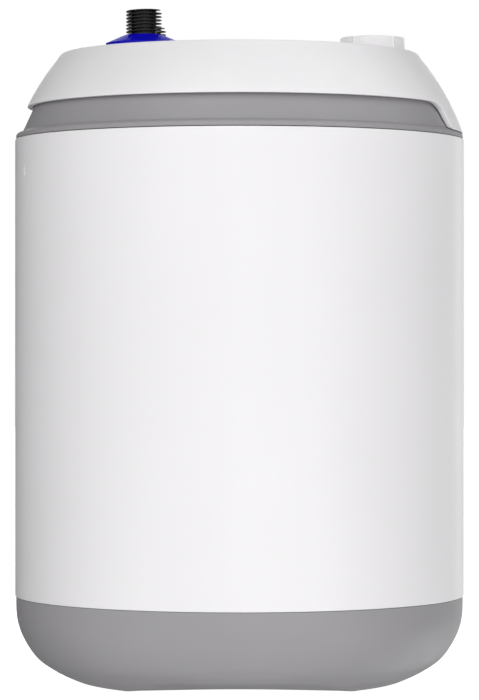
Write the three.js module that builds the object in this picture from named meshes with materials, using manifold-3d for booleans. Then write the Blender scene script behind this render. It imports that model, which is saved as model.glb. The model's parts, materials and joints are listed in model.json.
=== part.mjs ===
// A small electric storage water heater for use under a sink, about 10 litres.
// Millimetres, +Z up. The origin is the centre of the plane that the four feet rest on.
// +X is the front (control knob and nose), -X the rear. The cold inlet is on the -Y side.
import * as THREE from "three";
import { mergeVertices } from "three/addons/utils/BufferGeometryUtils.js";
import Module from "manifold-3d";

const wasm = await Module();
wasm.setup();

// ---- driving dimensions ----
const GAP = 0.3; // clearance between pieces that rest on each other
const JACKET_R = 135;
const JACKET_WALL = 1;
const JACKET_BOTTOM = 51.5;
const JACKET_TOP = 325;
const JACKET_FLANGE_R = 128;
const SEAM_Z = 175; // where the tank shells and the insulation halves meet

const BASE_RIM_R = 134.4;
const BASE_RIM_Z = JACKET_BOTTOM - GAP;
const BASE_UPSTAND_R = JACKET_R - JACKET_WALL - 0.4;
const BASE_UPSTAND_TOP = 62;
const BASE_WALL = 2;
const BASE_FLOOR_Z = 5; // underside of the floor inside the ring of feet
const FOOT_INNER_R = 88.5;
const FOOT_OUTER_R = 97;
const SCOOP_CREST_Z = 16.5; // top of the arch between two feet, at the bowl's surface
const SCOOP_ARCH_R = 136.4;
const SCOOP_FLOOR_Z = 4;
const SCOOP_FLOOR_ARCH_R = 470;

const RIM_R = 134.4; // bead of the band ring
const RIM_BOTTOM = JACKET_TOP + 0.4;
const BAND_BOTTOM = [130.4, 330];
const BAND_TOP = [120, 352.2];

const CAP_ARC_R = 151.3; // the cap's side wall is an arc of this radius
const CAP_ARC_CENTRE = [-8.15, 278.15];
const CAP_WALL = 3;
const CAP_TOP = 381.2;
const CAP_DOME_R = 1116;
const CAP_SHOULDER_R = 107.3;
const CAP_LIP_Z = 344.5;
const NOSE_BOTTOM_Z = 328.6;
const NOSE_FILLET_HALF = 66; // where the lip starts to bend down into the nose
const NOSE_KNEE = [50.4, 338.5];
const NOSE_BOTTOM_HALF = 48;

const KNOB_X = 80.2;
const KNOB_TOP = 386.9;
const KNOB_BOTTOM = 375.3;
const KNOB_R = 20.1;
const KNOB_TOP_R = 19.3;
const KNOB_FLUTES = 24;
const KNOB_FLUTE_DEPTH = 0.45;
const WELL_R = 21; // round recess in the cap that the knob turns in
const WELL_FLOOR = 374.8;
const WELL_UNDERSIDE = 371.8;

const STUB_X = -56;
const STUB_Y = 55; // the connections are 110 mm apart
const STUB_TOP = 398;
const THREAD_R = 10.4775; // G1/2
const THREAD_CORE_R = 7.35;
const THREAD_PITCH = 2;
const THREAD_BOTTOM = 384.5;
const STUB_BORE_R = 5.25;
const COLLAR_TOP = 383.4;
const COLLAR_CROWN_R = 11.2;
const COLLAR_SLOPE = 0.47;
const COLLAR_REACH = 25.3;

const TANK_R = 112;
const TANK_WALL = 2;
const NECK_R = 56;
const NECK_OPENING_R = 40;
const NECK_TOP = 325;
const PLATE_BOTTOM = 328.3;
const PLATE_TOP = 331.3;
const BOLT_CIRCLE_R = 51;
const BOLT_COUNT = 6;
const BOSS_TOP = 319;

const BRACKET_TOP = 367.5;
const SHEET = 1.5;
const HANGER_Z = 304;
const HANGER_BORE_R = 2.1; // tapping size for M5
const HANGER_HEAD_R = 3.6; // the insert's head fills the hole in the jacket
const HANGER_FACE = JACKET_R - 0.1;
const HANGER_AZIMUTH = THREE.MathUtils.degToRad(20.9); // either side of the rear

const COARSE = 12; // sides of a small round piece
const MEDIUM = 24;
const FINE = 40;

// ---- shape helpers ----

// A closed solid of revolution about Z, from [radius, height] points.
function lathe(points, sides = MEDIUM) {
  const area = points.reduce((sum, [r, z], i) => {
    const [nextR, nextZ] = points[(i + 1) % points.length];
    return sum + r * nextZ - nextR * z;
  }, 0);
  const ordered = area > 0 ? [...points] : [...points].reverse();
  const touchesAxis = points.some(([r]) => r === 0);
  if (!touchesAxis) ordered.push(ordered[0]);
  const profile = ordered.map(([r, z]) => new THREE.Vector2(r, z));
  return new THREE.LatheGeometry(profile, sides).rotateX(Math.PI / 2);
}

// Points of a circular arc, from angle a to angle b in degrees.
function arc(centreR, centreZ, radius, a, b, steps) {
  return Array.from({ length: steps + 1 }, (_, i) => {
    const angle = THREE.MathUtils.degToRad(a + ((b - a) * i) / steps);
    return [centreR + radius * Math.cos(angle), centreZ + radius * Math.sin(angle)];
  });
}

function rod(radius, bottom, top, sides = COARSE) {
  return lathe([[0, bottom], [radius, bottom], [radius, top], [0, top]], sides);
}

function pipe(outer, inner, bottom, top, sides = COARSE) {
  return lathe([[inner, bottom], [outer, bottom], [outer, top], [inner, top]], sides);
}

function hexagon(radius, bottom, top) {
  return rod(radius, bottom, top, 6);
}

function box(x0, x1, y0, y1, z0, z1) {
  const middle = [(x0 + x1) / 2, (y0 + y1) / 2, (z0 + z1) / 2];
  return new THREE.BoxGeometry(x1 - x0, y1 - y0, z1 - z0).translate(...middle);
}

// A round bar along a smooth curve through the points.
function bar(points, radius, steps, sides = 8) {
  const path = new THREE.CatmullRomCurve3(points.map((p) => new THREE.Vector3(...p)));
  const ring = Array.from({ length: sides }, (_, i) => {
    const angle = (2 * Math.PI * i) / sides;
    return new THREE.Vector2(radius * Math.cos(angle), radius * Math.sin(angle));
  });
  return new THREE.ExtrudeGeometry(new THREE.Shape(ring), { steps, extrudePath: path });
}

function toSolid(geometry) {
  const bare = geometry.clone();
  bare.deleteAttribute("normal");
  bare.deleteAttribute("uv");
  const merged = mergeVertices(bare, 1e-4);
  const vertProperties = merged.attributes.position.array;
  const triVerts = new Uint32Array(merged.index.array);
  return new wasm.Manifold(new wasm.Mesh({ numProp: 3, vertProperties, triVerts }));
}

function toGeometry(solid) {
  const { vertProperties, triVerts } = solid.getMesh();
  const geometry = new THREE.BufferGeometry();
  geometry.setAttribute("position", new THREE.BufferAttribute(vertProperties, 3));
  geometry.setIndex(new THREE.BufferAttribute(triVerts, 1));
  geometry.computeVertexNormals();
  return geometry;
}

function cut(body, ...tools) {
  const solid = tools.reduce((left, tool) => left.subtract(toSolid(tool)), toSolid(body));
  return toGeometry(solid);
}

function join(body, ...more) {
  const solid = more.reduce((all, extra) => all.add(toSolid(extra)), toSolid(body));
  return toGeometry(solid);
}

// The copies of a piece at both connections.
function atBothStubs(make) {
  return [-STUB_Y, STUB_Y].map((y) => make().translate(STUB_X, y, 0));
}

// A piece built along Z, laid along the outward direction at a hanger hole.
function atHanger(geometry, side) {
  geometry.rotateY(Math.PI / 2);
  return geometry.rotateZ(Math.PI + side * HANGER_AZIMUTH).translate(0, 0, HANGER_Z);
}

// ---- outer casing ----

function jacket() {
  const inner = JACKET_R - JACKET_WALL;
  const shell = lathe([
    [inner, JACKET_BOTTOM],
    [JACKET_R, JACKET_BOTTOM],
    ...arc(JACKET_R - 0.8, JACKET_TOP - 0.8, 0.8, 0, 90, 2),
    [JACKET_FLANGE_R, JACKET_TOP],
    [JACKET_FLANGE_R, JACKET_TOP - JACKET_WALL],
    [inner, JACKET_TOP - JACKET_WALL],
  ], FINE);
  const hole = () => rod(HANGER_HEAD_R + GAP, inner - 5, JACKET_R + 5, 16);
  return cut(shell, atHanger(hole(), -1), atHanger(hole(), 1));
}

// The hollow under the bowl between two feet. It runs out along +X.
function scoop() {
  const from = 55;
  const to = 150;
  const halfWidth = 72;
  const thickness = 20;
  const rise = [[95, 0.08], [104, 0.24], [113, 0.52], [121, 0.92], [124, 1]];
  const share = (v) => {
    if (v <= 88) return 0;
    let [lastV, lastShare] = [88, 0];
    for (const [nextV, nextShare] of rise) {
      if (v <= nextV) return lastShare + ((nextShare - lastShare) * (v - lastV)) / (nextV - lastV);
      [lastV, lastShare] = [nextV, nextShare];
    }
    return 1;
  };
  const block = new THREE.BoxGeometry(to - from, 2 * halfWidth, thickness, 8, 8, 1);
  block.translate((from + to) / 2, 0, -thickness / 2);
  const place = block.attributes.position;
  for (let i = 0; i < place.count; i += 1) {
    if (place.getZ(i) < -1) continue;
    const u = place.getY(i);
    const crest = SCOOP_CREST_Z - SCOOP_ARCH_R + Math.sqrt(SCOOP_ARCH_R ** 2 - u ** 2);
    const floor = SCOOP_FLOOR_Z - u ** 2 / (2 * SCOOP_FLOOR_ARCH_R);
    place.setZ(i, floor + (crest - floor) * share(place.getX(i)));
  }
  return block;
}

function baseCap() {
  const inside = BASE_UPSTAND_R - BASE_WALL;
  const bowl = lathe([
    [4.4, 14.3],
    [18, 14.3],
    [20, BASE_FLOOR_Z],
    [FOOT_INNER_R - 2.5, BASE_FLOOR_Z],
    [FOOT_INNER_R, 0],
    [FOOT_OUTER_R, 0],
    [101, 1.7],
    [113, 8.3],
    [121, 13.9],
    [125, 18.3],
    [128, 22.9],
    [131, 28.7],
    [133.2, 34.9],
    [BASE_RIM_R, 41.8],
    [BASE_RIM_R, BASE_RIM_Z],
    [BASE_UPSTAND_R, BASE_RIM_Z],
    [BASE_UPSTAND_R, BASE_UPSTAND_TOP],
    [inside, BASE_UPSTAND_TOP],
    [inside, 41.4],
    [128.6, 31],
    [123.8, 22],
    [112, 13.5],
    [95, 8],
    [23, 8],
    [21, 17.3],
    [11, 17.3],
    [11, 24],
    [4.4, 24],
  ], FINE);
  const scoops = [0, 1, 2, 3].map((i) => scoop().rotateZ((i * Math.PI) / 2));
  return cut(bowl, ...scoops);
}

function topRing() {
  return lathe([
    [125.1, 316.5],
    [127.5, 316.5],
    [127.5, RIM_BOTTOM],
    [RIM_R, RIM_BOTTOM],
    [RIM_R, 327.8],
    [RIM_R - 0.7, 328.7],
    BAND_BOTTOM,
    BAND_TOP,
    [BAND_TOP[0] - 2.2, BAND_TOP[1] - 1],
    [125.1, 334.5],
  ], FINE);
}

function domeHeight(r, top = CAP_TOP) {
  return top - r ** 2 / (2 * CAP_DOME_R);
}

// Points down the cap's side wall, from one height to another.
function capWall(radius, fromZ, toZ, steps) {
  const [centreR, centreZ] = CAP_ARC_CENTRE;
  const angleAt = (z) => THREE.MathUtils.radToDeg(Math.asin((z - centreZ) / radius));
  return arc(centreR, centreZ, radius, angleAt(fromZ), angleAt(toZ), steps);
}

function capShell() {
  const domeSteps = [0, 55, CAP_SHOULDER_R];
  const inner = CAP_TOP - CAP_WALL;
  return lathe([
    ...domeSteps.map((r) => [r, domeHeight(r)]),
    [CAP_SHOULDER_R + 1.1, 374.8],
    ...capWall(CAP_ARC_R, 372.8, NOSE_BOTTOM_Z, 4),
    [131.7, NOSE_BOTTOM_Z + 1.4],
    [BAND_TOP[0] + 0.8, BAND_TOP[1] - 0.4],
    ...capWall(CAP_ARC_R - CAP_WALL, BAND_TOP[1] + 2, 370.8, 3),
    ...domeSteps.reverse().map((r) => [r === 0 ? 0 : r - 1, domeHeight(r, inner)]),
  ], FINE);
}

// Everything below the lip that isn't the nose.
function belowLip() {
  const outline = new THREE.Shape();
  const top = CAP_LIP_Z + 10;
  const bottom = NOSE_BOTTOM_Z - 5;
  const [kneeHalf, kneeZ] = NOSE_KNEE;
  const softHalf = kneeHalf + 6;
  const softZ = CAP_LIP_Z - 1;
  outline.moveTo(-NOSE_FILLET_HALF, top);
  outline.lineTo(-NOSE_FILLET_HALF, CAP_LIP_Z);
  outline.bezierCurveTo(-softHalf, CAP_LIP_Z, -kneeHalf - 1, softZ, -kneeHalf, kneeZ);
  outline.lineTo(-NOSE_BOTTOM_HALF, NOSE_BOTTOM_Z);
  outline.lineTo(-NOSE_BOTTOM_HALF, bottom);
  outline.lineTo(NOSE_BOTTOM_HALF, bottom);
  outline.lineTo(NOSE_BOTTOM_HALF, NOSE_BOTTOM_Z);
  outline.lineTo(kneeHalf, kneeZ);
  outline.bezierCurveTo(kneeHalf + 1, softZ, softHalf, CAP_LIP_Z, NOSE_FILLET_HALF, CAP_LIP_Z);
  outline.lineTo(NOSE_FILLET_HALF, top);
  const prism = new THREE.ExtrudeGeometry(outline, { depth: 100, bevelEnabled: false, curveSegments: 8 });
  prism.rotateX(Math.PI / 2).rotateZ(Math.PI / 2).translate(60, 0, 0);
  return cut(pipe(150, 100, NOSE_BOTTOM_Z - 8, CAP_LIP_Z, FINE), prism);
}

function topCap() {
  const seat = rod(23, WELL_UNDERSIDE, 375.4, MEDIUM).translate(KNOB_X, 0, 0);
  const bosses = [-1, 1].map((side) => rod(3.6, BRACKET_TOP + 0.4, 373, 12).translate(KNOB_X, side * 11.5, 0));
  const whole = join(cut(capShell(), belowLip()), seat, ...bosses);
  const screwHoles = [-1, 1].map((side) => rod(1.9, 360, 380, 12).translate(KNOB_X, side * 11.5, 0));
  return cut(
    whole,
    rod(WELL_R, WELL_FLOOR, 395, MEDIUM).translate(KNOB_X, 0, 0),
    rod(5, 360, 380).translate(KNOB_X, 0, 0),
    ...screwHoles,
    ...atBothStubs(() => rod(THREAD_R + 0.8, 360, 395)),
    rod(7, 360, 395).translate(-88, 0, 0),
  );
}

function cableGrommet() {
  return lathe([
    [3.6, 371.4],
    [8.6, 371.4],
    [8.6, 373],
    [6.6, 373.2],
    [6.6, 379],
    [9.2, 379],
    [8.2, 380.8],
    [3.6, 380.8],
  ]).translate(-88, 0, 0);
}

// ---- control knob and thermostat ----

function controlKnob() {
  const edge = 1;
  const skirt = [
    [0, 384.9],
    [3.35, 384.9],
    [3.35, 376.5],
    [6, 376.5],
    [6, 384],
    [16.6, 384],
    [16.8, KNOB_BOTTOM],
    [KNOB_R, KNOB_BOTTOM],
    [KNOB_TOP_R, KNOB_TOP - edge],
    [KNOB_TOP_R - edge, KNOB_TOP],
    [0, KNOB_TOP],
  ];
  const knob = lathe(skirt, 2 * KNOB_FLUTES);
  const place = knob.attributes.position;
  const sector = Math.PI / KNOB_FLUTES;
  for (let i = 0; i < place.count; i += 1) {
    const [x, y] = [place.getX(i), place.getY(i)];
    const isValley = Math.round(Math.atan2(y, x) / sector) % 2 !== 0;
    const r = Math.hypot(x, y);
    if (!isValley || r < KNOB_TOP_R - edge - 0.1) continue;
    place.setXY(i, x * (1 - KNOB_FLUTE_DEPTH / r), y * (1 - KNOB_FLUTE_DEPTH / r));
  }
  const pointer = box(8, 17, -0.7, 0.7, KNOB_TOP - 0.6, KNOB_TOP + 1);
  return cut(knob, pointer).translate(KNOB_X, 0, 0);
}

function thermostatShaft() {
  const shaft = rod(3, 361, 384.5);
  const flat = box(2.2, 5, -5, 5, 372, 390);
  return cut(shaft, flat).translate(KNOB_X, 0, 0);
}

function thermostatBody() {
  const bottom = BRACKET_TOP - 25.5;
  const top = BRACKET_TOP - SHEET - GAP;
  const housing = box(-17, 17, -15, 15, bottom, top);
  const bushing = rod(5, top - 2, BRACKET_TOP + 1.4);
  const bore = rod(3.35, 360.5, 380);
  const screwHoles = [-12.5, 12.5].map((x) => rod(1.8, 359, 380, 12).translate(x, 0, 0));
  return cut(join(housing, bushing), bore, ...screwHoles).translate(KNOB_X, 0, 0);
}

function thermostatScrew(side) {
  const top = BRACKET_TOP + GAP;
  const profile = [[0, 360], [1.5, 360], [1.5, top], [3, top], [3, top + 1.6], [0, top + 2]];
  return lathe(profile, 16).translate(KNOB_X + side * 12.5, 0, 0);
}

// A folded sheet: foot on the flange plate, riser, and the table that carries the thermostat.
function thermostatBracket() {
  const foot = PLATE_TOP + GAP;
  const outline = new THREE.Shape();
  const path = [
    [36, foot],
    [52, foot],
    [52, BRACKET_TOP - SHEET],
    [99, BRACKET_TOP - SHEET],
    [99, BRACKET_TOP],
    [50.5, BRACKET_TOP],
    [50.5, foot + SHEET],
    [36, foot + SHEET],
  ];
  outline.setFromPoints(path.map(([x, z]) => new THREE.Vector2(x, z)));
  const width = 32;
  const sheet = new THREE.ExtrudeGeometry(outline, { depth: width, bevelEnabled: false });
  sheet.rotateX(Math.PI / 2).translate(0, width / 2, 0);
  const table = [BRACKET_TOP - 5, BRACKET_TOP + 5];
  return cut(
    sheet,
    rod(5.4, ...table).translate(KNOB_X, 0, 0),
    ...[-12.5, 12.5].map((x) => rod(1.8, ...table, 12).translate(KNOB_X + x, 0, 0)),
    ...[-11.5, 11.5].map((y) => rod(1.9, ...table, 12).translate(KNOB_X, y, 0)),
    rod(2.2, foot - 5, foot + 5, 12).translate(43, 0, 0),
  );
}

function panScrew(x, y, tip, seat, shankR, headR, headHeight) {
  const profile = [
    [0, tip],
    [shankR, tip],
    [shankR, seat],
    [headR, seat],
    [headR, seat + headHeight * 0.7],
    [headR * 0.6, seat + headHeight],
    [0, seat + headHeight],
  ];
  return lathe(profile, COARSE).translate(x, y, 0);
}

// ---- connections ----

// A solid helical fin: a straight bar of the thread's section, wrapped round the axis.
function threadFin(turns) {
  const half = THREAD_PITCH / 2;
  const section = new THREE.Shape();
  section.moveTo(THREAD_CORE_R - 0.3, -half * 0.75);
  section.lineTo(THREAD_R, -half * 0.25);
  section.lineTo(THREAD_R, half * 0.25);
  section.lineTo(THREAD_CORE_R - 0.3, half * 0.75);
  const fin = new THREE.ExtrudeGeometry(section, {
    depth: 2 * Math.PI * turns,
    steps: Math.round(12 * turns),
    bevelEnabled: false,
  });
  const place = fin.attributes.position;
  for (let i = 0; i < place.count; i += 1) {
    const [r, z, angle] = [place.getX(i), place.getY(i), place.getZ(i)];
    const lift = (THREAD_PITCH * angle) / (2 * Math.PI);
    place.setXYZ(i, r * Math.cos(angle), r * Math.sin(angle), z + lift);
  }
  const indices = Array.from({ length: place.count }, (_, i) => i);
  for (let i = 0; i < indices.length; i += 3) {
    [indices[i + 1], indices[i + 2]] = [indices[i + 2], indices[i + 1]];
  }
  fin.setIndex(indices);
  return fin;
}

function stub() {
  const body = lathe([
    [8.2, 306],
    [9.5, 306],
    [9.5, BOSS_TOP + 2.6],
    [14, BOSS_TOP + 2.6],
    [14, BOSS_TOP + 6],
    [THREAD_R, BOSS_TOP + 6],
    [THREAD_R, THREAD_BOTTOM],
    [THREAD_CORE_R, THREAD_BOTTOM],
    [THREAD_CORE_R, STUB_TOP],
    [STUB_BORE_R, STUB_TOP],
    [STUB_BORE_R, 378],
    [8.2, 374],
  ], COARSE);
  return join(body, threadFin(5.7).translate(0, 0, THREAD_BOTTOM + 1));
}

function collar() {
  const cone = lathe([
    [THREAD_R + 0.3, 372],
    [COLLAR_REACH, 372],
    [COLLAR_REACH, COLLAR_TOP - COLLAR_SLOPE * (COLLAR_REACH - COLLAR_CROWN_R)],
    [COLLAR_CROWN_R, COLLAR_TOP],
    [THREAD_R + 0.3, COLLAR_TOP],
  ], MEDIUM).translate(STUB_X, -STUB_Y, 0);
  const steps = [0, 55, CAP_SHOULDER_R];
  const top = CAP_TOP + GAP;
  const profile = [...steps.map((r) => [r, domeHeight(r, top)]), [112, 369], [112, 360], [0, 360]];
  return cut(cone, lathe(profile, FINE));
}

function connectionSeal() {
  return pipe(14, 9.8, BOSS_TOP + GAP, BOSS_TOP + 2.3);
}

function waterTube(bottom) {
  return pipe(7.9, 6.8, bottom, 330);
}

// ---- tank ----

function tankLowerShell() {
  const inner = TANK_R - TANK_WALL;
  return lathe([
    [0, 31.5],
    [4.3, 31.5],
    [4.3, 24.4],
    [9, 24.4],
    [9, 30.2],
    [60, 31],
    [95, 36],
    [106, 42],
    [TANK_R, 54],
    [TANK_R, SEAM_Z - 0.2],
    [inner, SEAM_Z - 0.2],
    [inner, 54],
    [104.5, 44],
    [94, 38.2],
    [60, 33.2],
    [0, 32.5],
  ]);
}

function tankUpperShell() {
  const inner = TANK_R - TANK_WALL;
  const dome = lathe([
    [inner, SEAM_Z + 0.2],
    [TANK_R, SEAM_Z + 0.2],
    [TANK_R, 296],
    [106, 308],
    [95, 314],
    [NECK_R, 318.8],
    [NECK_R, NECK_TOP],
    [NECK_OPENING_R, NECK_TOP],
    [NECK_OPENING_R, 316.8],
    [NECK_R, 316.5],
    [94, 311.8],
    [104.5, 306],
    [inner, 296],
  ]);
  const bosses = atBothStubs(() => rod(14, 312.5, BOSS_TOP));
  const bores = atBothStubs(() => rod(9.8, 300, 330));
  const tapped = boltPlaces().map(([x, y]) => rod(3.3, 320.5, 330, 12).translate(x, y, 0));
  return cut(join(dome, ...bosses), ...bores, ...tapped);
}

function boltPlaces() {
  return Array.from({ length: BOLT_COUNT }, (_, i) => {
    const angle = ((i + 0.5) * 2 * Math.PI) / BOLT_COUNT;
    return [BOLT_CIRCLE_R * Math.cos(angle), BOLT_CIRCLE_R * Math.sin(angle)];
  });
}

const ELEMENT_LEG = [15, 12];
const ANODE_AT = [0, -20];
const WELL_AT = [27, 0];
const CUTOUT_AT = [-27, -4];
const EARTH_AT = [33, -33];
const FOOT_SCREW_AT = [43, 0];

function flangePlate() {
  const through = (r, x, y) => rod(r, PLATE_BOTTOM - 5, PLATE_TOP + 5, 16).translate(x, y, 0);
  return cut(
    rod(NECK_R, PLATE_BOTTOM, PLATE_TOP),
    ...boltPlaces().map(([x, y]) => through(3.3, x, y)),
    ...[-1, 1].map((side) => through(4.6, side * ELEMENT_LEG[0], ELEMENT_LEG[1])),
    through(4, ...ANODE_AT),
    through(4.4, ...WELL_AT),
    through(2.2, ...EARTH_AT),
    through(2.2, ...FOOT_SCREW_AT),
  );
}

function flangeBolt([x, y]) {
  const seat = PLATE_TOP + GAP;
  return join(rod(3, 321, seat + 1, 12), hexagon(5.6, seat, seat + 4)).translate(x, y, 0);
}

function heatingElement() {
  const [x, y] = ELEMENT_LEG;
  const top = PLATE_TOP + 14;
  const [low, turn] = [86, 74];
  return bar([
    [-x, y, top],
    [-x, y, 260],
    [-x, y, 170],
    [-x, y, low],
    [-x * 0.72, y, turn],
    [0, y, turn - 5],
    [x * 0.72, y, turn],
    [x, y, low],
    [x, y, 170],
    [x, y, 260],
    [x, y, top],
  ], 4.1, 30);
}

function thermowell() {
  const profile = [[0, 120], [4, 120], [4, PLATE_TOP + 4], [2.9, PLATE_TOP + 4], [2.9, 122], [0, 122]];
  return lathe(profile, 16).translate(...WELL_AT, 0);
}

// The thermostat's liquid-filled bulb and its capillary tube.
function capillaryBulb() {
  const [x, y] = WELL_AT;
  const bulb = rod(2.4, 124, 200, 12).translate(x, y, 0);
  const line = bar([
    [x, y, 195],
    [x, y, 260],
    [x, y, 318],
    [x, y, 337],
    [x + 5, y - 9, 346],
    [x + 16, y - 20, 350],
    [58, -21.5, 352],
    [68, -19.5, 352],
    [70, -15.6, 352],
  ], 0.9, 22, 6);
  return join(bulb, line);
}

function anodeRod() {
  const shoulder = PLATE_BOTTOM - GAP;
  const profile = [[0, 100], [8, 100], [8, shoulder], [3.6, shoulder], [3.6, PLATE_TOP + 8], [0, PLATE_TOP + 8]];
  return lathe(profile).translate(...ANODE_AT, 0);
}

function anodeNut() {
  const seat = PLATE_TOP + GAP;
  return cut(hexagon(7.5, seat, seat + 5.5), rod(3.9, seat - 5, seat + 9)).translate(...ANODE_AT, 0);
}

// ---- electrical pieces on the flange plate ----

const CUTOUT_TOP = PLATE_TOP + 12;

function thermalCutout() {
  const seat = PLATE_TOP + GAP;
  const profile = [[0, seat], [9, seat], [9, seat + 7], [5.5, seat + 7], [5.5, CUTOUT_TOP], [0, CUTOUT_TOP]];
  const tabs = [-1, 1].map((side) => box(-3, 3, side * 7 - 0.4, side * 7 + 0.4, seat + 5, seat + 15));
  return cut(join(lathe(profile), ...tabs), rod(2.8, seat + 4, seat + 20)).translate(...CUTOUT_AT, 0);
}

function resetButton() {
  const bottom = PLATE_TOP + GAP + 5.8;
  const profile = [[0, bottom], [2.5, bottom], [2.5, CUTOUT_TOP + 2.4], [1.8, CUTOUT_TOP + 3], [0, CUTOUT_TOP + 3]];
  return lathe(profile, 16).translate(...CUTOUT_AT, 0);
}

const BLOCK_Y = [27, 39];
const POLES = [-14, -4, 6];

function terminalBlock() {
  const seat = PLATE_TOP + GAP;
  const block = box(-20, 12, ...BLOCK_Y, seat, seat + 13);
  const wells = POLES.map((x) => rod(2.6, seat + 8, seat + 20, 12).translate(x, 33, 0));
  return cut(block, ...wells);
}

function wires() {
  const top = PLATE_TOP + GAP + 9;
  const [neutralX, lineX, earthX] = POLES;
  const rise = (x) => [[x, 33, top], [x, 33, top + 12]];
  return {
    line_wire: [...rise(lineX), [4, 30, top + 20], [32, 23, 361], [56, 22, 358], [67, 19.5, 356], [69, 15.6, 356]],
    neutral_wire: [...rise(neutralX), [-20, 28, top + 17], [-31, 14, top + 15], [-27, 3.2, 348.4]],
    earth_wire: [...rise(earthX), [16, 30, top + 13], [33, 2, top + 6], [37, -24, 342], [33, -33, 335.2]],
  };
}

// ---- insulation and fastenings ----

function insulationLower() {
  return lathe([
    [12, 24.8],
    [118, 24.8],
    [126, 30],
    [129.5, 38],
    [131.2, 46],
    [131.2, 62.4],
    [133.4, 62.4],
    [133.4, SEAM_Z - 0.2],
    [TANK_R + 0.4, SEAM_Z - 0.2],
    [TANK_R + 0.4, 53.8],
    [106.4, 41.4],
    [95.2, 35.2],
    [60, 30.4],
    [12, 29.6],
  ]);
}

function insulationUpper() {
  const shell = lathe([
    [TANK_R + 0.4, SEAM_Z + 0.2],
    [133.4, SEAM_Z + 0.2],
    [133.4, 313],
    [124.4, 313],
    [124.4, 323.4],
    [60, 323.4],
    [60, 319.2],
    [95.5, 314.8],
    [106.6, 308.6],
    [TANK_R + 0.4, 296.2],
  ]);
  const recess = () => rod(6.5, 121, 140, 12);
  return cut(
    shell,
    ...atBothStubs(() => rod(14.8, 300, 330)),
    atHanger(recess(), -1),
    atHanger(recess(), 1),
  );
}

function hangerNut(side) {
  return atHanger(lathe([
    [HANGER_BORE_R, 123.5],
    [4.6, 123.5],
    [4.6, 131.5],
    [6, 131.5],
    [6, 133.2],
    [HANGER_HEAD_R, 133.2],
    [HANGER_HEAD_R, HANGER_FACE],
    [HANGER_BORE_R, HANGER_FACE],
  ], 16), side);
}

function baseWasher() {
  return pipe(12, 4.5, 12.4, 14);
}

function baseScrew() {
  return join(rod(4, 10, 30.5, 16), hexagon(7, 7, 12.1));
}

// ---- materials ----

function finish(color, roughness, metalness = 0) {
  return new THREE.MeshStandardMaterial({ color, roughness, metalness });
}

const whiteEnamel = finish(0xf3f1f3, 0.35);
const whitePlastic = finish(0xe8e5e9, 0.5);
const greyPlastic = finish(0xa3a1a6, 0.55);
const blackPlastic = finish(0x17171a, 0.45);
const bluePlastic = finish(0x0e00a8, 0.4);
const redPlastic = finish(0xb01018, 0.4);
const tankEnamel = finish(0x30506a, 0.3);
const steel = finish(0xb9bcc0, 0.35, 0.9);
const copper = finish(0xc07a4f, 0.3, 0.9);
const magnesium = finish(0xc9cacb, 0.6, 0.6);
const foam = finish(0xf0f2f0, 0.95);
const rubber = finish(0x222222, 0.85);
const brownWire = finish(0x6a3a1e, 0.5);
const blueWire = finish(0x2a62c8, 0.5);
const greenWire = finish(0x4c9a2f, 0.5);

// ---- assembly ----

const heater = new THREE.Group();

function add(name, geometry, material) {
  const mesh = new THREE.Mesh(geometry, material);
  mesh.name = name;
  heater.add(mesh);
}

add("jacket", jacket(), whiteEnamel);
add("base_cap", baseCap(), greyPlastic);
add("top_ring", topRing(), greyPlastic);
add("top_cap", topCap(), whitePlastic);
add("cable_grommet", cableGrommet(), rubber);
add("control_knob", controlKnob(), whitePlastic);
add("thermostat_shaft", thermostatShaft(), steel);
add("thermostat_body", thermostatBody(), blackPlastic);
add("thermostat_bracket", thermostatBracket(), steel);
add("thermostat_screw_front", thermostatScrew(1), steel);
add("thermostat_screw_rear", thermostatScrew(-1), steel);
add("cap_screw_left", panScrew(KNOB_X, -11.5, 366.5, WELL_FLOOR + GAP, 1.6, 3.2, 2.2), steel);
add("cap_screw_right", panScrew(KNOB_X, 11.5, 366.5, WELL_FLOOR + GAP, 1.6, 3.2, 2.2), steel);
add("bracket_screw", panScrew(...FOOT_SCREW_AT, 329, PLATE_TOP + SHEET + 2 * GAP, 1.9, 3.6, 2.4), steel);
add("earth_screw", panScrew(...EARTH_AT, 329, PLATE_TOP + GAP, 1.9, 4, 2.4), steel);
add("cold_stub", stub().translate(STUB_X, -STUB_Y, 0), blackPlastic);
add("hot_stub", stub().translate(STUB_X, STUB_Y, 0), blackPlastic);
add("cold_collar", collar(), bluePlastic);
add("hot_collar", collar().rotateZ(2 * Math.atan2(STUB_Y, STUB_X)), redPlastic);
add("cold_seal", connectionSeal().translate(STUB_X, -STUB_Y, 0), rubber);
add("hot_seal", connectionSeal().translate(STUB_X, STUB_Y, 0), rubber);
add("cold_dip_tube", waterTube(48).translate(STUB_X, -STUB_Y, 0), whitePlastic);
add("hot_draw_tube", waterTube(298).translate(STUB_X, STUB_Y, 0), whitePlastic);
add("tank_lower_shell", tankLowerShell(), tankEnamel);
add("tank_upper_shell", tankUpperShell(), tankEnamel);
add("flange_gasket", pipe(46, 41, NECK_TOP + GAP, PLATE_BOTTOM - GAP, MEDIUM), rubber);
add("flange_plate", flangePlate(), steel);
boltPlaces().forEach((place, i) => add(`flange_bolt_${i + 1}`, flangeBolt(place), steel));
add("heating_element", heatingElement(), copper);
add("thermowell", thermowell(), copper);
add("capillary_bulb", capillaryBulb(), copper);
add("anode_rod", anodeRod(), magnesium);
add("anode_nut", anodeNut(), steel);
add("thermal_cutout", thermalCutout(), blackPlastic);
add("reset_button", resetButton(), redPlastic);
add("terminal_block", terminalBlock(), whitePlastic);
const wireMaterials = { line_wire: brownWire, neutral_wire: blueWire, earth_wire: greenWire };
for (const [name, path] of Object.entries(wires())) {
  add(name, bar(path, 1.2, 18, 6), wireMaterials[name]);
}
add("insulation_lower", insulationLower(), foam);
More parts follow.
